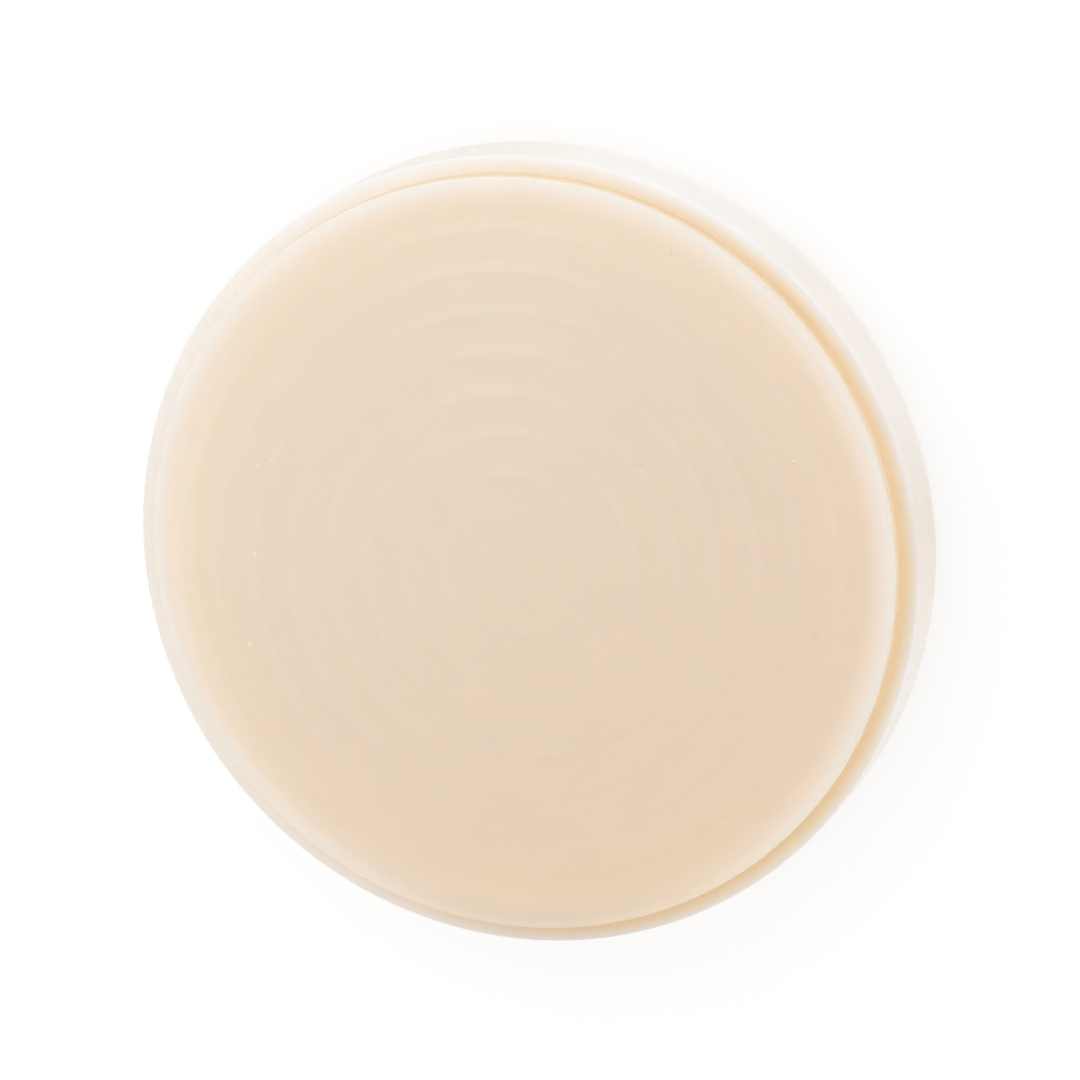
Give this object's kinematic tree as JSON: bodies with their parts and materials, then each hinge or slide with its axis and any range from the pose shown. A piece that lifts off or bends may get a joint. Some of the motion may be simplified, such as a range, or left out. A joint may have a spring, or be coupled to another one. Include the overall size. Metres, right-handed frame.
{
  "type": "dental milling disc",
  "caption": "Round plastic milling blank with a stepped edge: a clamping flange between two low collars, with flat faces to mill.",
  "frame": {"origin": "centre of the lower face, on the disc's axis, at the surface the disc lies on", "axes": "+Z along the disc's axis, away from the surface it lies on; X and Y are in the plane of the faces"},
  "size_m": [0.0984, 0.0984, 0.014],
  "materials": {
    "disc": "satin"
  },
  "bodies": {
    "root": {"disc": "disc"}
  },
  "joints": []
}
